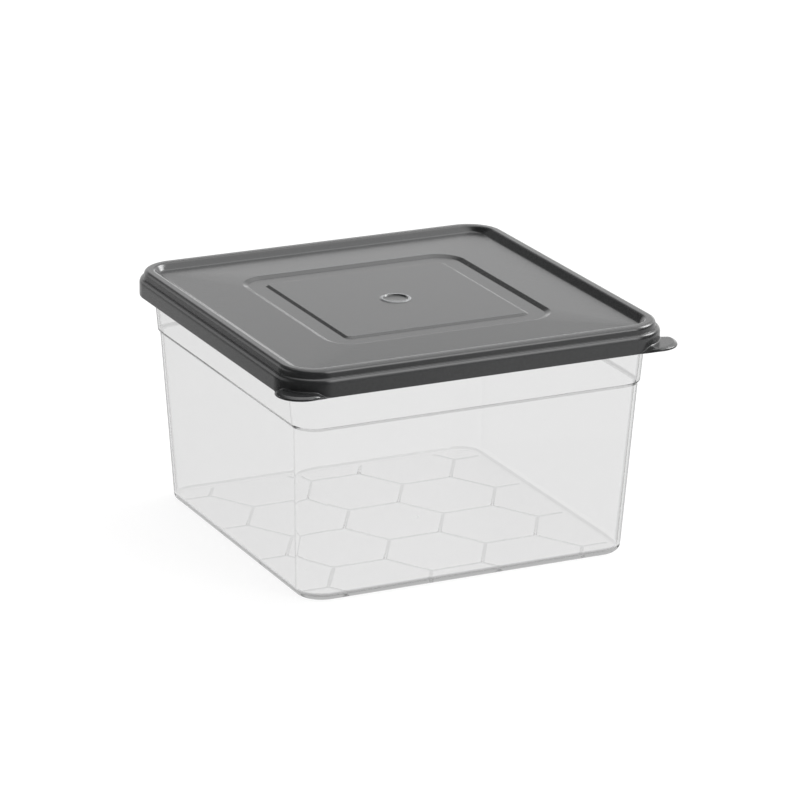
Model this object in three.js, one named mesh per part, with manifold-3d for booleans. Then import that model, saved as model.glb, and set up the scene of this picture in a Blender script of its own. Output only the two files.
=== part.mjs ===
// Square food storage box: a clear tub with a stepped collar, and a grey snap-on lid with two pull tabs.
// Millimetres, +Z up. The origin is the centre of the tub's underside, and X and Y run along the sides.

import * as THREE from 'three';
import { mergeVertices } from 'three/addons/utils/BufferGeometryUtils.js';
import Module from 'manifold-3d';

// Tub, from the table up. Widths are over the outside, and tapers are for one side.
const MOUTH_WIDTH = 144;
const MOUTH_CORNER_RADIUS = 10.5;
const BASE_CORNER_RADIUS = 10.5;
const BASE_EDGE_RADIUS = 2.7;
const BODY_HEIGHT = 67;
const BODY_TAPER = 3.2;
const STEP_RISE = 1.2;
const STEP_WIDTH = 0.9;
const STEP_RADIUS = 0.5;
const COLLAR_HEIGHT = 15.8;
const COLLAR_TAPER = 1.4;
const TUB_WALL = 1.1;
const FLOOR_THICKNESS = 1.3;

// Rim of the tub: the wall flares, carries a flange with a turned-down lip, and ends in an upright edge.
const FLARE_HEIGHT = 2.6;
const FLARE_WIDTH = 1.5;
const FLARE_RADIUS = 2;
const FLANGE_REACH = 2.25;
const LIP_DROP = 1.6;
const RIM_STAND = 2.7;

// Honeycomb of shallow lines in the tub's underside
const CELL_SIDE = 21;
const LINE_WIDTH = 0.9;
const LINE_DEPTH = 0.35;

// Lid
const FIT_GAP = 0.3;
const LID_WALL = 1.1;
const SKIRT_DEPTH = 6.5;
const SHOULDER_RADIUS = 1.8;
const LEDGE_LEAN = 0.48;
const BEAD_RADIUS = 1.2;
const BEAD_INNER_RADIUS = 2.5;
const BEAD_FLARE = 0.5;
const SNAP_RIB = 0.35;
const SNAP_RIB_HEIGHT = 1.6;
const SNAP_RIB_LIFT = 1.5;
const PANEL_DROP = 1.8;
const SLOPE_WIDTH = 3.9;
const SLOPE_RADIUS = 0.6;
const SLOPE_FOOT_CORNER_RADIUS = 3;

// Square channel in the lid's panel, round a plateau. Its walls run out by a share of their height.
const PLATEAU_WIDTH = 73;
const PLATEAU_CORNER_RADIUS = 1.6;
const PLATEAU_DROP = 0.3;
const CHANNEL_WIDTH = 9.8;
const CHANNEL_DEPTH = 0.8;
const CHANNEL_RUN = 2.2;
const CHANNEL_RADIUS = 0.8;

// Gate ring in the middle of the lid
const GATE_RING_RADIUS = 5.6;
const GATE_RING_WIDTH = 0.8;
const GATE_RING_HEIGHT = 0.3;
const GATE_RING_FOOT = 0.4;
const GATE_DIMPLE_DEPTH = 0.45;

// Pull tabs on the lid's two -Y corners
const TAB_RADIUS = 9.4;
const TAB_REACH = 7.1;
const TAB_LIFT = 1;
const TAB_THICKNESS = 1.7;
const TAB_EDGE_RADIUS = 1;
const TAB_FILLET = 1.5;

// Small roundings, and how finely curves are stepped
const EDGE_RADIUS = 0.3;
const FLAT_MARGIN = 0.6;
const SMALLEST_CORNER = 0.3;
const CORNER_STEPS = 8;
const ROUND_STEPS = 3;
const ROUND_ROOM = 0.49;

const QUARTER_TURN = Math.PI / 2;

// Heights of the tub
const STEP_TOP = BODY_HEIGHT + STEP_RISE;
const COLLAR_TOP = STEP_TOP + COLLAR_HEIGHT;
const FLANGE_UNDER = COLLAR_TOP + FLARE_HEIGHT;
const FLANGE_TOP = FLANGE_UNDER + TUB_WALL;
const LIP_BOTTOM = FLANGE_UNDER - LIP_DROP;
const RIM_TOP = FLANGE_TOP + RIM_STAND;

// Half-widths of the tub's outside
const COLLAR_HALF = MOUTH_WIDTH / 2;
const STEP_HALF = COLLAR_HALF - COLLAR_TAPER;
const BODY_HALF = STEP_HALF - STEP_WIDTH;
const BASE_HALF = BODY_HALF - BODY_TAPER;
const RIM_OUTSIDE = COLLAR_HALF + FLARE_WIDTH;
const RIM_INSIDE = RIM_OUTSIDE - TUB_WALL;
const FLANGE_EDGE = RIM_OUTSIDE + FLANGE_REACH;

// Half-widths of the lid
const RIB_INSIDE = FLANGE_EDGE + FIT_GAP;
const SKIRT_INSIDE = RIB_INSIDE + SNAP_RIB;
const SKIRT_OUTSIDE = SKIRT_INSIDE + LID_WALL;
const HOLLOW_OUTSIDE = RIM_OUTSIDE + FIT_GAP;
const BEAD_OUTSIDE = HOLLOW_OUTSIDE + LID_WALL;
const BEAD_FOOT = BEAD_OUTSIDE + BEAD_FLARE;
const BEAD_INSIDE = RIM_INSIDE - FIT_GAP;
const SLOPE_FOOT = BEAD_INSIDE - SLOPE_WIDTH;
const PLATEAU_HALF = PLATEAU_WIDTH / 2;
const CHANNEL_OUTSIDE = PLATEAU_HALF + CHANNEL_WIDTH;

// Heights of the lid, whose leaning ledge sits on the tub's flange and whose bead sits on the rim
const LEDGE_UNDER = FLANGE_TOP + FIT_GAP - LEDGE_LEAN * (SKIRT_INSIDE - FLANGE_EDGE);
const LEDGE_UNDER_BEAD = LEDGE_UNDER + LEDGE_LEAN * (SKIRT_INSIDE - HOLLOW_OUTSIDE);
const SHOULDER_TOP = LEDGE_UNDER + LID_WALL * (Math.hypot(1, LEDGE_LEAN) - LEDGE_LEAN);
const LEDGE_TOP = SHOULDER_TOP + LEDGE_LEAN * (SKIRT_OUTSIDE - BEAD_FOOT);
const HOLLOW_TOP = RIM_TOP + FIT_GAP;
const BEAD_TOP = HOLLOW_TOP + LID_WALL;
const SKIRT_BOTTOM = SHOULDER_TOP - SKIRT_DEPTH;
const PANEL_TOP = BEAD_TOP - PANEL_DROP;
const PANEL_UNDER = PANEL_TOP - LID_WALL;
const PLATEAU_TOP = PANEL_TOP - PLATEAU_DROP;
const CHANNEL_FLOOR = PANEL_TOP - CHANNEL_DEPTH;

const wasm = await Module();
wasm.setup();

// Plan outline of a square with round corners, anticlockwise from its +X side
function squareOutline(half, radius) {
  const round = Math.max(radius, SMALLEST_CORNER);
  const outline = [];
  for (let corner = 0; corner < 4; corner += 1) {
    const diagonal = (corner + 0.5) * QUARTER_TURN;
    const reach = (half - round) * Math.SQRT2;
    for (let step = 0; step <= CORNER_STEPS; step += 1) {
      const angle = (corner + step / CORNER_STEPS) * QUARTER_TURN;
      outline.push(new THREE.Vector2(
        reach * Math.cos(diagonal) + round * Math.cos(angle),
        reach * Math.sin(diagonal) + round * Math.sin(angle),
      ));
    }
  }
  return outline;
}

// Circle with as many points as the square outline has
function discOutline(radius) {
  const count = 4 * (CORNER_STEPS + 1);
  const outline = [];
  for (let i = 0; i < count; i += 1) {
    const angle = ((i + 0.5) / count) * 4 * QUARTER_TURN;
    outline.push(new THREE.Vector2(radius * Math.cos(angle), radius * Math.sin(angle)));
  }
  return outline;
}

// Section through a wall: each corner is [half-width, height, radius], and the radius rounds the corner off
function roundCorners(corners) {
  const line = [];
  corners.forEach(([half, height, radius = 0], i) => {
    const corner = new THREE.Vector2(half, height);
    if (radius === 0) {
      line.push(corner);
      return;
    }
    const before = new THREE.Vector2(corners[i - 1][0], corners[i - 1][1]).sub(corner);
    const after = new THREE.Vector2(corners[i + 1][0], corners[i + 1][1]).sub(corner);
    const room = Math.min(before.length(), after.length()) * ROUND_ROOM;
    before.normalize();
    after.normalize();
    const halfAngle = Math.acos(THREE.MathUtils.clamp(before.dot(after), -1, 1)) / 2;
    const reach = Math.min(radius / Math.tan(halfAngle), room);
    const start = corner.clone().addScaledVector(before, reach);
    const end = corner.clone().addScaledVector(after, reach);
    const arcRadius = reach * Math.tan(halfAngle);
    const toCentre = before.clone().add(after).normalize();
    const centre = corner.clone().addScaledVector(toCentre, arcRadius / Math.sin(halfAngle));
    const from = start.clone().sub(centre).angle();
    let sweep = end.clone().sub(centre).angle() - from;
    if (sweep > Math.PI) sweep -= 2 * Math.PI;
    if (sweep < -Math.PI) sweep += 2 * Math.PI;
    for (let step = 0; step <= ROUND_STEPS; step += 1) {
      const angle = from + (sweep * step) / ROUND_STEPS;
      line.push(new THREE.Vector2(
        centre.x + arcRadius * Math.cos(angle),
        centre.y + arcRadius * Math.sin(angle),
      ));
    }
  });
  return line;
}

// Closed skin through a stack of plan outlines that all have the same number of points
function loftSections(sections) {
  const count = sections[0].outline.length;
  const position = [];
  for (const { outline, height } of sections) {
    for (const point of outline) position.push(point.x, point.y, height);
  }
  const firstPole = position.length / 3;
  const lastPole = firstPole + 1;
  position.push(0, 0, sections[0].height, 0, 0, sections[sections.length - 1].height);
  const index = [];
  const lastRing = (sections.length - 1) * count;
  for (let k = 0; k < count; k += 1) {
    const next = (k + 1) % count;
    index.push(firstPole, k, next, lastPole, lastRing + next, lastRing + k);
    for (let ring = 0; ring < lastRing; ring += count) {
      const above = ring + count;
      index.push(ring + k, above + k, above + next, ring + k, above + next, ring + next);
    }
  }
  const geometry = new THREE.BufferGeometry();
  geometry.setAttribute('position', new THREE.Float32BufferAttribute(position, 3));
  geometry.setIndex(index);
  return geometry;
}

// Plan outlines for the points of a section: discs, or squares with their own corner radius at each point
function discs(line) {
  return line.map(({ x: half, y: height }) => ({ outline: discOutline(half), height }));
}

function squares(line, corner) {
  return line.map(({ x: half, y: height }) => ({
    outline: squareOutline(half, corner(half, height)),
    height,
  }));
}

// Solid for cutting and joining, and back to a geometry
function toSolid(geometry) {
  const bare = geometry.clone();
  bare.deleteAttribute('normal');
  bare.deleteAttribute('uv');
  const merged = mergeVertices(bare);
  return new wasm.Manifold(new wasm.Mesh({
    numProp: 3,
    vertProperties: new Float32Array(merged.getAttribute('position').array),
    triVerts: new Uint32Array(merged.getIndex().array),
  }));
}

function toGeometry(solid) {
  const mesh = solid.getMesh();
  const geometry = new THREE.BufferGeometry();
  geometry.setAttribute('position', new THREE.BufferAttribute(mesh.vertProperties, 3));
  geometry.setIndex(new THREE.BufferAttribute(mesh.triVerts, 1));
  geometry.computeVertexNormals();
  return geometry;
}

// Upright prism between two heights
function prism(outline, bottom, top) {
  const shape = new THREE.Shape(outline);
  const geometry = new THREE.ExtrudeGeometry(shape, { depth: top - bottom, bevelEnabled: false });
  return toSolid(geometry.translate(0, 0, bottom));
}

// Plan corner radius on the tub: in step with the mouth above the step, easing into the base's below it
function tubCorner(half, height) {
  const stepCorner = MOUTH_CORNER_RADIUS - (COLLAR_HALF - BODY_HALF);
  if (height >= BODY_HEIGHT) return MOUTH_CORNER_RADIUS + half - COLLAR_HALF;
  const share = height / BODY_HEIGHT;
  const outside = BASE_HALF + BODY_TAPER * share;
  return THREE.MathUtils.lerp(BASE_CORNER_RADIUS, stepCorner, share) + half - outside;
}

// Tub's section, from the middle of the floor up the inside, over the rim and down the outside
function tubSkin() {
  const floorHalf = BASE_HALF + BODY_TAPER * (FLOOR_THICKNESS / BODY_HEIGHT) - TUB_WALL;
  const flatHalf = BASE_HALF - BASE_EDGE_RADIUS - FLAT_MARGIN;
  const section = roundCorners([
    [flatHalf - TUB_WALL, FLOOR_THICKNESS],
    [floorHalf, FLOOR_THICKNESS, BASE_EDGE_RADIUS - TUB_WALL],
    [BODY_HALF - TUB_WALL, BODY_HEIGHT, STEP_RADIUS],
    [STEP_HALF - TUB_WALL, STEP_TOP, STEP_RADIUS],
    [COLLAR_HALF - TUB_WALL, COLLAR_TOP, FLARE_RADIUS],
    [RIM_INSIDE, FLANGE_TOP, FLARE_RADIUS],
    [RIM_INSIDE, RIM_TOP, EDGE_RADIUS],
    [RIM_OUTSIDE, RIM_TOP, EDGE_RADIUS],
    [RIM_OUTSIDE, FLANGE_TOP, EDGE_RADIUS],
    [FLANGE_EDGE, FLANGE_TOP, EDGE_RADIUS],
    [FLANGE_EDGE, LIP_BOTTOM, EDGE_RADIUS],
    [FLANGE_EDGE - TUB_WALL, LIP_BOTTOM, EDGE_RADIUS],
    [FLANGE_EDGE - TUB_WALL, FLANGE_UNDER, EDGE_RADIUS],
    [RIM_OUTSIDE, FLANGE_UNDER, EDGE_RADIUS],
    [COLLAR_HALF, COLLAR_TOP, FLARE_RADIUS],
    [STEP_HALF, STEP_TOP, STEP_RADIUS],
    [BODY_HALF, BODY_HEIGHT, STEP_RADIUS],
    [BASE_HALF, 0, BASE_EDGE_RADIUS],
    [flatHalf, 0],
  ]);
  return loftSections(squares(section, tubCorner));
}

// Honeycomb of lines: a thin plate as large as the flat of the base, less its six-sided cells
function honeycomb() {
  const flatHalf = BASE_HALF - BASE_EDGE_RADIUS;
  const rowPitch = CELL_SIDE * Math.sqrt(3);
  const columnPitch = CELL_SIDE * 1.5;
  const cellReach = CELL_SIDE - LINE_WIDTH / Math.sqrt(3);
  const columns = Math.ceil(flatHalf / columnPitch);
  const rows = Math.ceil(flatHalf / rowPitch) + 1;
  let lines = prism(squareOutline(flatHalf, BASE_CORNER_RADIUS - BASE_EDGE_RADIUS), -LINE_DEPTH, LINE_DEPTH);
  for (let column = -columns; column <= columns; column += 1) {
    const shift = column % 2 === 0 ? 0 : rowPitch / 2;
    for (let row = -rows; row <= rows; row += 1) {
      const cell = [];
      for (let side = 0; side < 6; side += 1) {
        const angle = (side * Math.PI) / 3;
        cell.push(new THREE.Vector2(
          column * columnPitch + cellReach * Math.cos(angle),
          row * rowPitch + shift + cellReach * Math.sin(angle),
        ));
      }
      lines = lines.subtract(prism(cell, -2 * LINE_DEPTH, 2 * LINE_DEPTH));
    }
  }
  return lines;
}

// Plan corner radius on the lid's rim: in step with the tub's mouth, and tighter down the slope to its foot
function rimCorner(half) {
  const beadCorner = MOUTH_CORNER_RADIUS + BEAD_INSIDE - COLLAR_HALF;
  if (half >= BEAD_INSIDE) return beadCorner + half - BEAD_INSIDE;
  return THREE.MathUtils.lerp(beadCorner, SLOPE_FOOT_CORNER_RADIUS, (BEAD_INSIDE - half) / SLOPE_WIDTH);
}

// Lid's section, from the middle of the panel out over the bead, down the skirt and back underneath
function lidSkin() {
  const channelCorner = (half) => PLATEAU_CORNER_RADIUS + half - PLATEAU_HALF;
  const ringInside = GATE_RING_RADIUS - GATE_RING_WIDTH / 2;
  const ringOutside = GATE_RING_RADIUS + GATE_RING_WIDTH / 2;
  const ribMiddle = SKIRT_BOTTOM + SNAP_RIB_LIFT + SNAP_RIB_HEIGHT / 2;
  const innerRun = CHANNEL_RUN * (CHANNEL_DEPTH - PLATEAU_DROP);
  const outerRun = CHANNEL_RUN * CHANNEL_DEPTH;

  const gate = roundCorners([
    [ringInside - GATE_RING_FOOT, PLATEAU_TOP - GATE_DIMPLE_DEPTH],
    [ringInside, PLATEAU_TOP + GATE_RING_HEIGHT],
    [ringOutside, PLATEAU_TOP + GATE_RING_HEIGHT],
    [ringOutside + GATE_RING_FOOT, PLATEAU_TOP],
  ]);
  const channel = (drop) => roundCorners([
    [PLATEAU_HALF - FLAT_MARGIN, PLATEAU_TOP - drop],
    [PLATEAU_HALF, PLATEAU_TOP - drop, CHANNEL_RADIUS],
    [PLATEAU_HALF + innerRun, CHANNEL_FLOOR - drop, CHANNEL_RADIUS],
    [CHANNEL_OUTSIDE - outerRun, CHANNEL_FLOOR - drop, CHANNEL_RADIUS],
    [CHANNEL_OUTSIDE, PANEL_TOP - drop, CHANNEL_RADIUS],
    [CHANNEL_OUTSIDE + FLAT_MARGIN, PANEL_TOP - drop],
  ]);
  const rim = roundCorners([
    [SLOPE_FOOT - FLAT_MARGIN, PANEL_TOP],
    [SLOPE_FOOT, PANEL_TOP, SLOPE_RADIUS],
    [BEAD_INSIDE, BEAD_TOP, BEAD_INNER_RADIUS],
    [BEAD_OUTSIDE, BEAD_TOP, BEAD_RADIUS],
    [BEAD_FOOT, LEDGE_TOP, EDGE_RADIUS],
    [SKIRT_OUTSIDE, SHOULDER_TOP, SHOULDER_RADIUS],
    [SKIRT_OUTSIDE, SKIRT_BOTTOM, EDGE_RADIUS],
    [SKIRT_INSIDE, SKIRT_BOTTOM, EDGE_RADIUS],
    [SKIRT_INSIDE, ribMiddle - SNAP_RIB_HEIGHT / 2],
    [RIB_INSIDE, ribMiddle],
    [SKIRT_INSIDE, ribMiddle + SNAP_RIB_HEIGHT / 2],
    [SKIRT_INSIDE, LEDGE_UNDER, EDGE_RADIUS],
    [HOLLOW_OUTSIDE, LEDGE_UNDER_BEAD, EDGE_RADIUS],
    [HOLLOW_OUTSIDE, HOLLOW_TOP, EDGE_RADIUS],
    [BEAD_INSIDE, HOLLOW_TOP, EDGE_RADIUS],
    [SLOPE_FOOT, PANEL_UNDER, SLOPE_RADIUS],
    [SLOPE_FOOT - FLAT_MARGIN, PANEL_UNDER],
  ]);

  return loftSections([
    ...discs(gate),
    ...squares(channel(0), channelCorner),
    ...squares(rim, rimCorner),
    ...squares(channel(LID_WALL).reverse(), channelCorner),
  ]);
}

// Pull tab: a round leaf just above the skirt's lower edge, filleted into the skirt's corner
function pullTab(side) {
  const cornerCentre = SKIRT_OUTSIDE - rimCorner(SKIRT_OUTSIDE);
  const outward = rimCorner(SKIRT_OUTSIDE) + TAB_REACH - TAB_RADIUS;
  const middle = cornerCentre + outward / Math.SQRT2;
  const leafBottom = SKIRT_BOTTOM + TAB_LIFT;
  const leafTop = leafBottom + TAB_THICKNESS;
  const filletTop = leafTop + TAB_FILLET;
  const flatRadius = TAB_RADIUS - TAB_EDGE_RADIUS;
  const onCorner = (section) => {
    const round = loftSections(discs(roundCorners(section)));
    return toSolid(round.translate(side * middle, -middle, 0));
  };
  const leaf = onCorner([
    [flatRadius - TAB_EDGE_RADIUS, leafTop],
    [TAB_RADIUS, leafTop, TAB_EDGE_RADIUS],
    [TAB_RADIUS, leafBottom, EDGE_RADIUS],
    [flatRadius, leafBottom],
  ]);
  const column = onCorner([[flatRadius, filletTop], [flatRadius, leafBottom]]);
  const skirtMiddle = SKIRT_OUTSIDE - LID_WALL / 2;
  const insideOutline = squareOutline(skirtMiddle, rimCorner(skirtMiddle));
  const inside = prism(insideOutline, SKIRT_BOTTOM, BEAD_TOP);
  const flare = roundCorners([
    [skirtMiddle, filletTop],
    [SKIRT_OUTSIDE, filletTop],
    [SKIRT_OUTSIDE, leafTop, TAB_FILLET],
    [SKIRT_OUTSIDE + 2 * TAB_FILLET, leafTop],
    [SKIRT_OUTSIDE + 2 * TAB_FILLET, leafBottom],
  ]);
  const flaredSkirt = toSolid(loftSections(squares(flare, rimCorner)));
  return leaf.add(column.intersect(flaredSkirt)).subtract(inside);
}

function namedMesh(name, geometry, material) {
  const mesh = new THREE.Mesh(geometry, new THREE.MeshStandardMaterial(material));
  mesh.name = name;
  return mesh;
}

const tub = toSolid(tubSkin()).subtract(honeycomb());
const lid = toSolid(lidSkin()).add(pullTab(1)).add(pullTab(-1));

const box = new THREE.Group();
box.name = 'food_storage_box';
box.add(namedMesh('tub', toGeometry(tub), {
  color: 0xe6e8e9,
  roughness: 0.08,
  metalness: 0,
  transparent: true,
  opacity: 0.3,
}));
box.add(namedMesh('lid', toGeometry(lid), { color: 0x45484a, roughness: 0.45, metalness: 0 }));

export default box;
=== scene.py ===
import math

import bmesh
import bpy
from mathutils import Matrix, Vector


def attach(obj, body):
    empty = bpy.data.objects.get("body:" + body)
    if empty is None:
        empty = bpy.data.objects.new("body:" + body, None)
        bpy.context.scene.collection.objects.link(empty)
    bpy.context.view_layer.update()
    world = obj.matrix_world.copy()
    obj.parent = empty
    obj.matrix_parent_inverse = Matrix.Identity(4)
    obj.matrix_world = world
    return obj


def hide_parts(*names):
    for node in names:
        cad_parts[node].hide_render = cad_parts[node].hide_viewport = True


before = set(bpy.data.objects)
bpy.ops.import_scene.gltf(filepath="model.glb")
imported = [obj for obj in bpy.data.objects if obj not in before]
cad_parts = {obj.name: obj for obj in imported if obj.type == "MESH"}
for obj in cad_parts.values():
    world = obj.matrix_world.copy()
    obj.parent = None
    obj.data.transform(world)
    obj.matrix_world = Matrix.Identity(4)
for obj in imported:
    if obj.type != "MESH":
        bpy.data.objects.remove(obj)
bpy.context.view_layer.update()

MM = 0.001

# Tub, in millimetres. Half-widths are over the outside.
COLLAR_HALF = 72.0
MOUTH_CORNER = 10.5
BASE_CORNER = 10.5
BASE_EDGE = 2.7
EDGE_BAND = 3.6
BODY_HEIGHT = 67.0
BODY_TAPER = 3.2
STEP_TOP = BODY_HEIGHT + 1.2
STEP_HALF = COLLAR_HALF - 1.4
BODY_HALF = STEP_HALF - 0.9
BASE_HALF = BODY_HALF - BODY_TAPER
COLLAR_TOP = STEP_TOP + 15.8
TUB_WALL = 1.1
FLOOR = 1.3
FLANGE_UNDER = COLLAR_TOP + 2.6
FLANGE_TOP = FLANGE_UNDER + TUB_WALL
LIP_BOTTOM = FLANGE_UNDER - 1.6
RIM_TOP = FLANGE_TOP + 2.7
RIM_OUTSIDE = COLLAR_HALF + 1.5
RIM_INSIDE = RIM_OUTSIDE - TUB_WALL
FLANGE_EDGE = RIM_OUTSIDE + 2.25
CELL_SIDE = 21.0
LINE_DEPTH = 0.35
LINE_MARGIN = BASE_EDGE + 0.8

# Lid
FIT_GAP = 0.3
LID_WALL = 1.1
RIB_INSIDE = FLANGE_EDGE + FIT_GAP
SKIRT_INSIDE = RIB_INSIDE + 0.35
SKIRT_OUTSIDE = SKIRT_INSIDE + LID_WALL
HOLLOW_OUTSIDE = RIM_OUTSIDE + FIT_GAP
BEAD_OUTSIDE = HOLLOW_OUTSIDE + LID_WALL
BEAD_FOOT = BEAD_OUTSIDE + 0.5
BEAD_INSIDE = RIM_INSIDE - FIT_GAP
SLOPE_FOOT = BEAD_INSIDE - 3.9
SLOPE_CORNER = 3.0
PLATEAU_HALF = 36.5
PLATEAU_CORNER = 1.6
CHANNEL_OUTSIDE = PLATEAU_HALF + 9.8
LEDGE_LEAN = 0.48
LEDGE_UNDER = FLANGE_TOP + FIT_GAP - LEDGE_LEAN * (SKIRT_INSIDE - FLANGE_EDGE)
LEDGE_UNDER_BEAD = LEDGE_UNDER + LEDGE_LEAN * (SKIRT_INSIDE - HOLLOW_OUTSIDE)
SHOULDER_TOP = LEDGE_UNDER + LID_WALL * (math.hypot(1, LEDGE_LEAN) - LEDGE_LEAN)
LEDGE_TOP = SHOULDER_TOP + LEDGE_LEAN * (SKIRT_OUTSIDE - BEAD_FOOT)
HOLLOW_TOP = RIM_TOP + FIT_GAP
BEAD_TOP = HOLLOW_TOP + LID_WALL
SKIRT_BOTTOM = SHOULDER_TOP - 6.5
RIB_BOTTOM = SKIRT_BOTTOM + 1.5
PANEL_TOP = BEAD_TOP - 1.8
PANEL_UNDER = PANEL_TOP - LID_WALL
PANEL_CROWN = 0.37
PLATEAU_TOP = PANEL_TOP - 0.3
CHANNEL_FLOOR = PANEL_TOP - 0.8
CHANNEL_RUN = 2.6
GATE_RING = 6.0
GATE_BEAD = 0.35
GATE_DIMPLE = 0.2

# Pull tabs
TAB_RADIUS = 9.4
TAB_REACH = 7.04
TAB_LIFT = 1
TAB_THICKNESS = 1.4
TAB_FILLET = 0.7
TAB_ROOT = 0.7
TAB_STEPS = 120
TAB_FAIR_FROM = 2.6
TAB_FULL_FROM = 5
TAB_LEAST_REACH = 0.06

# Radii of small edges, and how finely rounds are drawn
EDGE_ROUND = 0.3
STEP_ROUND = 0.5
COLLAR_ROUND = 2.0
CHANNEL_ROUND = 0.8
CORNER_STEPS = 32
ROUND_STEPS = 8


def square_outline(half, radius):
    radius = max(radius, 0.3)
    points = []
    for corner in range(4):
        diagonal = (corner + 0.5) * math.pi / 2
        reach = (half - radius) * math.sqrt(2)
        for step in range(CORNER_STEPS + 1):
            angle = (corner + step / CORNER_STEPS) * math.pi / 2
            points.append((reach * math.cos(diagonal) + radius * math.cos(angle),
                           reach * math.sin(diagonal) + radius * math.sin(angle)))
    return points


def disc_outline(radius):
    count = 4 * (CORNER_STEPS + 1)
    return [(radius * math.cos(2 * math.pi * (i + 0.5) / count),
             radius * math.sin(2 * math.pi * (i + 0.5) / count)) for i in range(count)]


def round_corners(corners, steps=ROUND_STEPS):
    """Section through a wall: corners of [half-width, height, radius], rounded off by their radius."""
    line = []
    for i, corner in enumerate(corners):
        here = Vector(corner[:2])
        radius = corner[2] if len(corner) > 2 else 0
        if not radius:
            line.append(here)
            continue
        before = Vector(corners[i - 1][:2]) - here
        after = Vector(corners[i + 1][:2]) - here
        room = min(before.length, after.length) * 0.8
        before.normalize()
        after.normalize()
        half_angle = math.acos(max(-1, min(1, before.dot(after)))) / 2
        reach = min(radius / math.tan(half_angle), room)
        arc = reach * math.tan(half_angle)
        centre = here + (before + after).normalized() * (arc / math.sin(half_angle))
        start = here + before * reach - centre
        end = here + after * reach - centre
        a0 = math.atan2(start.y, start.x)
        sweep = math.atan2(end.y, end.x) - a0
        sweep = (sweep + math.pi) % (2 * math.pi) - math.pi
        for step in range(steps + 1):
            a = a0 + sweep * step / steps
            line.append(centre + arc * Vector((math.cos(a), math.sin(a))))
    return line


def loft(bm, sections):
    """Closed skin through (outline, height) sections, capped at both ends."""
    rings = [[bm.verts.new((x * MM, y * MM, z * MM)) for x, y in outline] for outline, z in sections]
    count = len(rings[0])
    first = bm.verts.new((0, 0, sections[0][1] * MM))
    last = bm.verts.new((0, 0, sections[-1][1] * MM))
    for k in range(count):
        n = (k + 1) % count
        bm.faces.new((first, rings[0][k], rings[0][n]))
        bm.faces.new((last, rings[-1][n], rings[-1][k]))
        for a, b in zip(rings, rings[1:]):
            bm.faces.new((a[k], b[k], b[n], a[n]))


def squares(line, corner):
    return [(square_outline(p.x, corner(p.x, p.y)), p.y) for p in line]


def discs(line):
    return [(disc_outline(p.x), p.y) for p in line]


def tub_corner(half, height):
    if height >= BODY_HEIGHT:
        return MOUTH_CORNER + half - COLLAR_HALF
    share = height / BODY_HEIGHT
    step_corner = MOUTH_CORNER - (COLLAR_HALF - BODY_HALF)
    outside = BASE_HALF + BODY_TAPER * share
    return BASE_CORNER + (step_corner - BASE_CORNER) * share + half - outside


def line_corner(half, height):
    return BASE_CORNER - LINE_MARGIN


def rim_corner(half, height=0):
    bead_corner = MOUTH_CORNER + BEAD_INSIDE - COLLAR_HALF
    if half >= BEAD_INSIDE:
        return bead_corner + half - BEAD_INSIDE
    share = (BEAD_INSIDE - half) / (BEAD_INSIDE - SLOPE_FOOT)
    return bead_corner + (SLOPE_CORNER - bead_corner) * share


def channel_corner(half, height):
    return PLATEAU_CORNER + half - PLATEAU_HALF


def link(name, bm):
    mesh = bpy.data.meshes.new(name)
    bmesh.ops.recalc_face_normals(bm, faces=bm.faces)
    bm.to_mesh(mesh)
    bm.free()
    obj = bpy.data.objects.new(name, mesh)
    bpy.context.scene.collection.objects.link(obj)
    return obj


def cut(obj, cutter):
    """Boolean difference, applied, with the cutter removed."""
    mod = obj.modifiers.new("cut", "BOOLEAN")
    mod.operation = "DIFFERENCE"
    mod.solver = "EXACT"
    mod.object = cutter
    bpy.context.view_layer.update()
    done = bpy.data.meshes.new_from_object(obj.evaluated_get(bpy.context.evaluated_depsgraph_get()))
    obj.modifiers.clear()
    obj.data = done
    bpy.data.objects.remove(cutter)


def smooth(obj, angle):
    """Smooth shading that keeps flat faces flat and edges over the angle crisp."""
    for polygon in obj.data.polygons:
        polygon.use_smooth = True
    obj.data.set_sharp_from_angle(angle=math.radians(angle))
    mod = obj.modifiers.new("weighted normals", "WEIGHTED_NORMAL")
    mod.mode = "FACE_AREA"
    mod.keep_sharp = True


def make_cells():
    """Honeycomb of tapered cells, which leave V-shaped lines between them."""
    bm = bmesh.new()
    row = CELL_SIDE * math.sqrt(3)
    for i in range(-3, 4):
        for j in range(-3, 4):
            cx = 1.5 * CELL_SIDE * i
            cy = row * (j + 0.5 * (i % 2))
            rings = []
            for z, inset in ((-2 * LINE_DEPTH, 2.0), (1.22 * LINE_DEPTH, 0.06)):
                reach = CELL_SIDE - inset / math.cos(math.pi / 6)
                rings.append([bm.verts.new(((cx + reach * math.cos(k * math.pi / 3)) * MM,
                                            (cy + reach * math.sin(k * math.pi / 3)) * MM,
                                            z * MM)) for k in range(6)])
            bm.faces.new(rings[0][::-1])
            bm.faces.new(rings[1])
            for k in range(6):
                n = (k + 1) % 6
                bm.faces.new((rings[0][k], rings[0][n], rings[1][n], rings[1][k]))
    return link("cells", bm)


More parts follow.
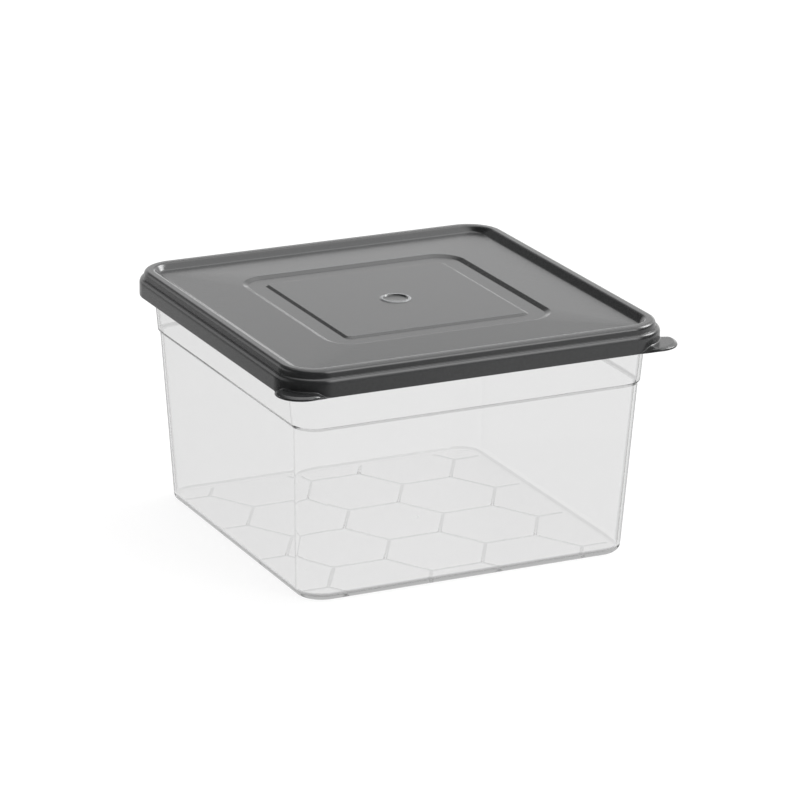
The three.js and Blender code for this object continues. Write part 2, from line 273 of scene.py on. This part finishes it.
def make_tub():
    def wall(height):
        return BASE_HALF + BODY_TAPER * height / BODY_HEIGHT

    flat_half = BASE_HALF - BASE_EDGE - 0.6
    section = round_corners([
        (flat_half - TUB_WALL, FLOOR),
        (wall(FLOOR) - TUB_WALL, FLOOR, BASE_EDGE - TUB_WALL),
        (BODY_HALF - TUB_WALL, BODY_HEIGHT, STEP_ROUND),
        (STEP_HALF - TUB_WALL, STEP_TOP, STEP_ROUND),
        (COLLAR_HALF - TUB_WALL, COLLAR_TOP, COLLAR_ROUND),
        (RIM_INSIDE, FLANGE_TOP, COLLAR_ROUND),
        (RIM_INSIDE, RIM_TOP, EDGE_ROUND),
        (RIM_OUTSIDE, RIM_TOP, EDGE_ROUND),
        (RIM_OUTSIDE, FLANGE_TOP, EDGE_ROUND),
        (FLANGE_EDGE, FLANGE_TOP, EDGE_ROUND),
        (FLANGE_EDGE, LIP_BOTTOM, EDGE_ROUND),
        (FLANGE_EDGE - TUB_WALL, LIP_BOTTOM, EDGE_ROUND),
        (FLANGE_EDGE - TUB_WALL, FLANGE_UNDER, EDGE_ROUND),
        (RIM_OUTSIDE, FLANGE_UNDER, EDGE_ROUND),
        (COLLAR_HALF, COLLAR_TOP, COLLAR_ROUND),
        (STEP_HALF, STEP_TOP, STEP_ROUND),
        (BODY_HALF, BODY_HEIGHT, STEP_ROUND),
        (wall(EDGE_BAND), EDGE_BAND),
        (BASE_HALF, 0, BASE_EDGE),
        (flat_half, 0),
    ])
    bm = bmesh.new()
    loft(bm, squares(section, tub_corner))
    tub = link("clear_tub", bm)

    line_half = BASE_HALF - LINE_MARGIN
    plate_bm = bmesh.new()
    loft(plate_bm, squares([Vector((line_half, LINE_DEPTH)), Vector((line_half, -LINE_DEPTH))], line_corner))
    plate = link("line_plate", plate_bm)
    cut(plate, make_cells())
    cut(tub, plate)
    smooth(tub, 30)
    return tub


def channel_section(drop):
    """Channel round the plateau, lowered by the drop."""
    return round_corners([
        (PLATEAU_HALF - 0.6, PLATEAU_TOP - drop),
        (PLATEAU_HALF, PLATEAU_TOP - drop, CHANNEL_ROUND),
        (PLATEAU_HALF + CHANNEL_RUN * (PLATEAU_TOP - CHANNEL_FLOOR), CHANNEL_FLOOR - drop, CHANNEL_ROUND),
        (CHANNEL_OUTSIDE - CHANNEL_RUN * (PANEL_TOP - CHANNEL_FLOOR), CHANNEL_FLOOR - drop, CHANNEL_ROUND),
        (CHANNEL_OUTSIDE, PANEL_TOP - drop, CHANNEL_ROUND),
        (CHANNEL_OUTSIDE + 0.6, PANEL_TOP - drop),
    ], 5)


def gate_section():
    """Gate ring in the middle of the plateau, with its dimple."""
    return round_corners([
        (0.4, PLATEAU_TOP - GATE_DIMPLE),
        (GATE_RING - 1.6, PLATEAU_TOP - GATE_DIMPLE, 0.25),
        (GATE_RING - 1.2, PLATEAU_TOP + GATE_BEAD, EDGE_ROUND),
        (GATE_RING - 0.5, PLATEAU_TOP + GATE_BEAD, EDGE_ROUND),
        (GATE_RING, PLATEAU_TOP, 0.25),
        (GATE_RING + 1, PLATEAU_TOP),
    ], 4)


def rim_section():
    """Rim of the lid, from the panel over the bead and skirt and back along the underside."""
    crease = BEAD_FOOT + 0.95
    return round_corners([
        (SLOPE_FOOT - 1, PANEL_TOP - PANEL_CROWN),
        (SLOPE_FOOT + 0.69, PANEL_TOP - PANEL_CROWN, 2),
        (BEAD_INSIDE - 0.43, BEAD_TOP, 2.5),
        (BEAD_OUTSIDE + 0.6, BEAD_TOP, 1.6),
        (BEAD_FOOT + 0.5, LEDGE_TOP - 0.45, 0.15),
        (crease, SHOULDER_TOP + LEDGE_LEAN * (SKIRT_OUTSIDE - crease), 0.15),
        (SKIRT_OUTSIDE - 0.5, SHOULDER_TOP + 0.5 * LEDGE_LEAN, 1.2),
        (SKIRT_OUTSIDE, SHOULDER_TOP - 0.9, 3),
        (SKIRT_OUTSIDE, SKIRT_BOTTOM, 0.54),
        (SKIRT_INSIDE, SKIRT_BOTTOM, EDGE_ROUND),
        (SKIRT_INSIDE, RIB_BOTTOM, EDGE_ROUND),
        (RIB_INSIDE, RIB_BOTTOM + 0.8, 0.4),
        (SKIRT_INSIDE, RIB_BOTTOM + 1.6, EDGE_ROUND),
        (SKIRT_INSIDE, LEDGE_UNDER, EDGE_ROUND),
        (HOLLOW_OUTSIDE, LEDGE_UNDER_BEAD, EDGE_ROUND),
        (HOLLOW_OUTSIDE, HOLLOW_TOP, EDGE_ROUND),
        (BEAD_INSIDE, HOLLOW_TOP, EDGE_ROUND),
        (SLOPE_FOOT, PANEL_UNDER - PANEL_CROWN, 0.6),
        (SLOPE_FOOT - 0.6, PANEL_UNDER - PANEL_CROWN),
    ])


def tab_reach(p, n, middle):
    """How far the round leaf stands out from the skirt at a point, along the skirt's normal."""
    to = p - middle
    b = to.dot(n)
    inside = b * b - to.length_squared + TAB_RADIUS ** 2
    return -b + math.sqrt(inside) if inside > 0 else 0


def tab_section(reach):
    """Section square to the skirt: thinner and lower toward the ends of the leaf, where the reach is small."""
    share = min(1, reach / TAB_FULL_FROM)
    full = share * share * (3 - 2 * share)
    shown = 0.2 + 0.8 * full
    bottom = SKIRT_BOTTOM + TAB_LIFT * shown
    top = bottom + TAB_THICKNESS * (0.35 + 0.65 * full)
    fillet = min(TAB_FILLET, 0.6 * reach) * shown
    return round_corners([
        (-TAB_ROOT, top + fillet),
        (0, top + fillet + 0.001),
        (0, top, fillet),
        (reach * 0.8, top, 1.2),
        (reach, top - 0.1 * reach * shown, 0.6),
        (reach, bottom, 0.35),
        (-TAB_ROOT, bottom),
    ], 6)


def add_tab(bm, side):
    """Pull tab: sections square to the skirt, swept round its corner and rooted in its wall."""
    radius = rim_corner(SKIRT_OUTSIDE)
    corner = SKIRT_OUTSIDE - radius
    middle = Vector((1, 1)) * (radius + TAB_REACH - TAB_RADIUS) / math.sqrt(2)
    turns = [math.pi / 2 * k / TAB_STEPS for k in range(TAB_STEPS + 1)]
    normals = [Vector((math.cos(a), math.sin(a))) for a in turns]
    reaches = [tab_reach(n * radius, n, middle) for n in normals]
    # Ends of the leaf fair into the skirt with a hollow curve
    first = next(k for k in range(TAB_STEPS + 1) if reaches[k] > TAB_FAIR_FROM)
    slope = (reaches[first + 1] - reaches[first]) / (turns[1] * radius)
    for k in range(first):
        along = (turns[first] - turns[k]) * radius
        fair = max(0, 1 - along * slope / (2 * reaches[first])) ** 2 * reaches[first]
        reaches[k] = fair
        reaches[TAB_STEPS - k] = fair
    rings = []
    for n, reach in zip(normals, reaches):
        if reach < TAB_LEAST_REACH:
            continue
        ring = []
        for q in tab_section(reach):
            x = corner + n.x * (radius + q.x)
            y = corner + n.y * (radius + q.x)
            ring.append(bm.verts.new((side * x * MM, -y * MM, q.y * MM)))
        rings.append(ring)
    count = len(rings[0])
    for a, b in zip(rings, rings[1:]):
        for k in range(count):
            n = (k + 1) % count
            bm.faces.new((a[k], a[n], b[n], b[k]))
    bm.faces.new(rings[0])
    bm.faces.new(rings[-1][::-1])


def make_lid():
    bm = bmesh.new()
    loft(bm, (discs(gate_section()) + squares(channel_section(0), channel_corner)
              + squares(rim_section(), rim_corner)
              + squares(channel_section(LID_WALL)[::-1], channel_corner)))
    add_tab(bm, 1)
    add_tab(bm, -1)
    lid = link("grey_lid", bm)
    smooth(lid, 40)
    return lid


def new_tree(owner):
    owner.use_nodes = True
    owner.node_tree.nodes.clear()
    return owner.node_tree


def add_node(tree, kind, inputs=None, **settings):
    """New node. Each input is a plain value or the output of another node."""
    node = tree.nodes.new(kind)
    for key, value in settings.items():
        setattr(node, key, value)
    for key, value in (inputs or {}).items():
        if isinstance(value, bpy.types.NodeSocket):
            tree.links.new(value, node.inputs[key])
        else:
            node.inputs[key].default_value = value
    return node


def map_range(tree, value, start, end, before, after, interpolation="LINEAR"):
    node = add_node(tree, "ShaderNodeMapRange", {
        "Value": value,
        "From Min": start,
        "From Max": end,
        "To Min": before,
        "To Max": after,
    }, interpolation_type=interpolation)
    return node.outputs["Result"]


def fade(tree, value, start, end, before, after):
    return map_range(tree, value, start, end, before, after, "SMOOTHSTEP")


def calc(tree, operation, a, b):
    return add_node(tree, "ShaderNodeMath", {0: a, 1: b}, operation=operation).outputs[0]


def dot(tree, vector, axis):
    node = add_node(tree, "ShaderNodeVectorMath", {0: vector, 1: axis}, operation="DOT_PRODUCT")
    return node.outputs["Value"]


def mix_colour(tree, factor, a, b):
    node = add_node(tree, "ShaderNodeMix", {"Factor": factor, "A": a, "B": b}, data_type="RGBA")
    return node.outputs["Result"]


def painted_lower_edge_shade(tree, place, inside):
    """Painted shade on the rounded lower edge, where the plastic is thick: grey from outside and darkest
    half-way up.
    """
    height = add_node(tree, "ShaderNodeSeparateXYZ", {0: place}).outputs["Z"]
    ramp = add_node(tree, "ShaderNodeValToRGB", {"Fac": map_range(tree, height, 0, EDGE_BAND * MM, 0, 1)})
    stops = ramp.color_ramp.elements
    stops[0].color = (0.38, 0.38, 0.38, 1)
    stops[1].color = (0.8, 0.8, 0.8, 1)
    for position, tone in ((0.3, 0.22), (0.6, 0.2), (0.8, 0.3)):
        stops.new(position).color = (tone, tone, tone, 1)
    # The painted shade shows only from outside.
    side = add_node(tree, "ShaderNodeNewGeometry").outputs["Backfacing"]
    return mix_colour(tree, side, ramp.outputs["Color"], inside)


def clear_plastic(name, ior, tint, edge_on_painted_shade, edge_start, rough, lower_edge=False):
    """Clear plastic whose tint greys where it is seen edge-on: painted shade."""
    material = bpy.data.materials.new(name)
    tree = new_tree(material)
    place = add_node(tree, "ShaderNodeTexCoord").outputs["Object"]
    facing = add_node(tree, "ShaderNodeLayerWeight", {"Blend": 0.5}).outputs["Facing"]
    # Painted shade: the tint darkens as the surface turns edge-on.
    tone = map_range(tree, facing, edge_start, edge_start + 0.38, tint, edge_on_painted_shade)
    if lower_edge:
        tone = painted_lower_edge_shade(tree, place, tone)
    haze = add_node(tree, "ShaderNodeTexNoise", {"Vector": place, "Scale": 160, "Detail": 4}).outputs["Fac"]
    shader = add_node(tree, "ShaderNodeBsdfPrincipled", {
        "Base Color": tone,
        "Roughness": map_range(tree, haze, 0, 1, *rough),
        "IOR": ior,
        "Transmission Weight": 1.0,
    })
    add_node(tree, "ShaderNodeOutputMaterial", {"Surface": shader.outputs["BSDF"]})
    return material


def grey_plastic(name, shade, rough, grain_depth):
    """Dark grey plastic with a fine moulded grain."""
    material = bpy.data.materials.new(name)
    tree = new_tree(material)
    place = add_node(tree, "ShaderNodeTexCoord").outputs["Object"]
    grain = add_node(tree, "ShaderNodeTexNoise", {"Vector": place, "Scale": 1000, "Detail": 3}).outputs["Fac"]
    dark = (0.76 * shade, 0.79 * shade, 0.81 * shade, 1)
    light = (1.24 * shade, 1.26 * shade, 1.29 * shade, 1)
    bump = add_node(tree, "ShaderNodeBump", {"Strength": grain_depth, "Distance": 0.0001, "Height": grain})
    shader = add_node(tree, "ShaderNodeBsdfPrincipled", {
        "Base Color": mix_colour(tree, grain, dark, light),
        "Roughness": map_range(tree, grain, 0, 1, *rough),
        "Normal": bump.outputs["Normal"],
    })
    add_node(tree, "ShaderNodeOutputMaterial", {"Surface": shader.outputs["BSDF"]})
    return material


def tub_finish(polygon):
    """Which clear-plastic material a face of the tub gets: one plastic throughout, with painted shade in the
    tints of its lines, lower edge, steps and corners.
    """
    x, y, z = polygon.center / MM
    nx, ny, lean = polygon.normal
    outward = nx * x + ny * y > 0
    if max(abs(x), abs(y)) < BASE_HALF - LINE_MARGIN + 0.1 and 0.01 < z < 1.2 * LINE_DEPTH and lean < 0.5:
        return "clear_plastic_lines"
    if z < EDGE_BAND and outward and lean > -0.995:
        return "clear_plastic_edge"
    if z < FLOOR + BASE_EDGE and 0.45 < lean < 0.9:
        return "clear_plastic_step"
    if BODY_HEIGHT - 0.7 < z < STEP_TOP + 0.7 and abs(lean) > 0.3:
        return "clear_plastic_step"
    if z < COLLAR_TOP and min(abs(nx), abs(ny)) > 0.02 and abs(lean) < 0.2:
        return "clear_plastic_corner"
    if z < FLOOR + 0.1 and abs(lean) > 0.99:
        return "clear_plastic_base"
    return "clear_plastic"


def lid_finish(polygon):
    """Which grey plastic a face of the lid has."""
    x, y, z = polygon.center / MM
    if max(abs(x), abs(y)) > SLOPE_FOOT + 0.3:
        return "grey_plastic_rim"
    if math.hypot(x, y) < GATE_RING + 0.2 and z > PLATEAU_TOP + 0.1:
        return "grey_plastic_ring"
    return "grey_plastic"


def dress(obj, finishes, finish_of):
    """Give an object its materials, by name, and each face the one it is named for."""
    obj.data.materials.clear()
    for material in finishes.values():
        obj.data.materials.append(material)
    order = list(finishes)
    for polygon in obj.data.polygons:
        polygon.material_index = order.index(finish_of(polygon))


tub = make_tub()
dress(tub, {
    # One clear plastic in six materials: the darker tints of the lines, lower edge, steps and corners are
    # painted shade, and the base is tinted a little darker.
    "clear_plastic": clear_plastic("clear_plastic", 1.22, 0.895, 0.03, 0.62, (0.01, 0.05)),
    "clear_plastic_lines": clear_plastic("clear_plastic_lines", 1.1, 0.78, 0.6, 0.62, (0.2, 0.3)),
    "clear_plastic_edge": clear_plastic("clear_plastic_edge", 1.15, 0.9, 0.85, 0.62, (0.05, 0.12), True),
    "clear_plastic_step": clear_plastic("clear_plastic_step", 1.22, 0.7, 0.5, 0.62, (0.02, 0.08)),
    "clear_plastic_corner": clear_plastic("clear_plastic_corner", 1.22, 0.895, 0.03, 0.5, (0.01, 0.05)),
    "clear_plastic_base": clear_plastic("clear_plastic_base", 1.22, 0.83, 0.03, 0.62, (0.2, 0.3)),
}, tub_finish)
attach(tub, "tub")
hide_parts("tub")

lid = make_lid()
dress(lid, {
    "grey_plastic": grey_plastic("grey_plastic", 0.021, (0.16, 0.24), 0.32),
    "grey_plastic_rim": grey_plastic("grey_plastic_rim", 0.021, (0.17, 0.24), 0.03),
    "grey_plastic_ring": grey_plastic("grey_plastic_ring", 0.16, (0.2, 0.3), 0.03),
}, lid_finish)
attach(lid, "lid")
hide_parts("lid")

# Camera at the photograph's viewpoint
TURN = math.radians(25.662)
TILT = math.radians(18.367)
ROLL = math.radians(0.473)
DISTANCE = 1.64427
SIDEWAYS = 0.002056
UPWARD = 0.004275
FOCAL_PX = 4333.2
IMAGE_PX = 800
SENSOR = 36
TARGET = Vector((0, 0, 0.044868))


def make_camera():
    back = Vector((-math.sin(TURN) * math.cos(TILT), -math.cos(TURN) * math.cos(TILT), math.sin(TILT)))
    level_right = Vector((math.cos(TURN), -math.sin(TURN), 0))
    level_up = back.cross(level_right)
    right = math.cos(ROLL) * level_right + math.sin(ROLL) * level_up
    up = math.cos(ROLL) * level_up - math.sin(ROLL) * level_right
    camera = bpy.data.objects.new("camera", bpy.data.cameras.new("camera"))
    camera.data.sensor_width = SENSOR
    camera.data.lens = FOCAL_PX * SENSOR / IMAGE_PX
    camera.data.clip_start = 0.1
    camera.data.clip_end = 50
    pose = Matrix((right, up, back)).transposed().to_4x4()
    pose.translation = TARGET + DISTANCE * back + SIDEWAYS * right + UPWARD * up
    camera.matrix_world = pose
    bpy.context.scene.collection.objects.link(camera)
    bpy.context.scene.camera = camera


def floor_material():
    """White to the eye and through the clear walls; where the lid mirrors it, painted light brightens it
    towards the front right and painted shadow darkens it towards the front left.
    """
    material = bpy.data.materials.new("pale_floor")
    tree = new_tree(material)
    ray = add_node(tree, "ShaderNodeLightPath").outputs
    place = add_node(tree, "ShaderNodeTexCoord").outputs["Object"]
    # Reflection-only levels: painted light towards the front right, painted shadow towards the front left.
    toward_front = dot(tree, place, (0.43, -0.9, 0))
    toward_left = dot(tree, place, (-0.9, -0.43, 0))
    painted_mirror_level = calc(tree, "MULTIPLY", map_range(tree, toward_front, -0.25, 0.25, 0.78, 1.15),
                    map_range(tree, toward_left, 0.03, 0.22, 1.0, 0.12))
    direct = map_range(tree, ray["Is Camera Ray"], 0, 1, 0.98, 1.08)
    level = map_range(tree, ray["Is Reflection Ray"], 0, 1, direct, painted_mirror_level)
    glow = add_node(tree, "ShaderNodeEmission", {"Strength": level})
    matt = add_node(tree, "ShaderNodeBsdfDiffuse", {"Color": (0.8, 0.8, 0.8, 1)})
    bounced = calc(tree, "MAXIMUM", ray["Is Glossy Ray"], ray["Is Transmission Ray"])
    share = calc(tree, "MAXIMUM", calc(tree, "MULTIPLY", ray["Is Camera Ray"], 0.85), bounced)
    surface = add_node(tree, "ShaderNodeMixShader", {
        "Fac": share,
        1: matt.outputs["BSDF"],
        2: glow.outputs["Emission"],
    })
    add_node(tree, "ShaderNodeOutputMaterial", {"Surface": surface.outputs["Shader"]})
    return material


def softbox(tree, direction, aim, inner, outer, strength):
    """Round soft light in the given direction, full inside one angle and gone outside the other."""
    facing = dot(tree, direction, Vector(aim).normalized())
    return fade(tree, facing, math.cos(math.radians(outer)), math.cos(math.radians(inner)), 0, strength)


def make_studio():
    """Soft studio: overhead and key softboxes, a tall strip at the front right, and a pale backdrop."""
    world = bpy.data.worlds.new("studio")
    bpy.context.scene.world = world
    tree = new_tree(world)
    direction = add_node(tree, "ShaderNodeTexCoord").outputs["Generated"]
    parts = add_node(tree, "ShaderNodeSeparateXYZ", {0: direction})
    across = parts.outputs["X"]
    along = parts.outputs["Y"]
    rise = parts.outputs["Z"]

    def product(first, *others):
        for other in others:
            first = calc(tree, "MULTIPLY", first, other)
        return first

    overhead = softbox(tree, direction, (0.45, 0.05, 0.89), 22, 55, 3.0)
    key = softbox(tree, direction, (0.79, 0.05, 0.60), 8, 18, 14)
    aside = dot(tree, direction, (0.884, 0.468, 0))
    ahead = dot(tree, direction, (0.468, -0.884, 0))
    strip = product(fade(tree, aside, -0.26, -0.1, 0.0, 1.0), fade(tree, aside, 0.1, 0.26, 1.0, 0.0),
                    fade(tree, ahead, 0.2, 0.5, 0.0, 6.0),
                    fade(tree, rise, 0.26, 0.4, 0.2, 1.0), fade(tree, rise, 0.7, 0.85, 1.0, 0.0))
    backdrop = product(fade(tree, rise, 0.34, 0.50, 1.32, 0.0), fade(tree, along, -0.2, 0.5, 0.0, 1.0))
    low_backdrop = product(fade(tree, rise, 0.12, 0.26, 0.85, 0.0), fade(tree, along, 0.3, 0.7, 0.0, 1.0),
                           fade(tree, across, 0.2, 0.42, 0.0, 1.0))
    light = overhead
    for part in (strip, key, backdrop, low_backdrop, 0.1):
        light = calc(tree, "ADD", light, part)
    sky = add_node(tree, "ShaderNodeBackground", {"Strength": light})
    add_node(tree, "ShaderNodeOutputWorld", {"Surface": sky.outputs["Background"]})


make_camera()

# Pale floor, just above the tub's underside so that the two don't coincide
floor_bm = bmesh.new()
bmesh.ops.create_grid(floor_bm, x_segments=1, y_segments=1, size=8)
floor = link("floor", floor_bm)
floor.location.z = 0.00005
floor.data.materials.append(floor_material())

make_studio()
bpy.context.scene.view_settings.view_transform = "Standard"
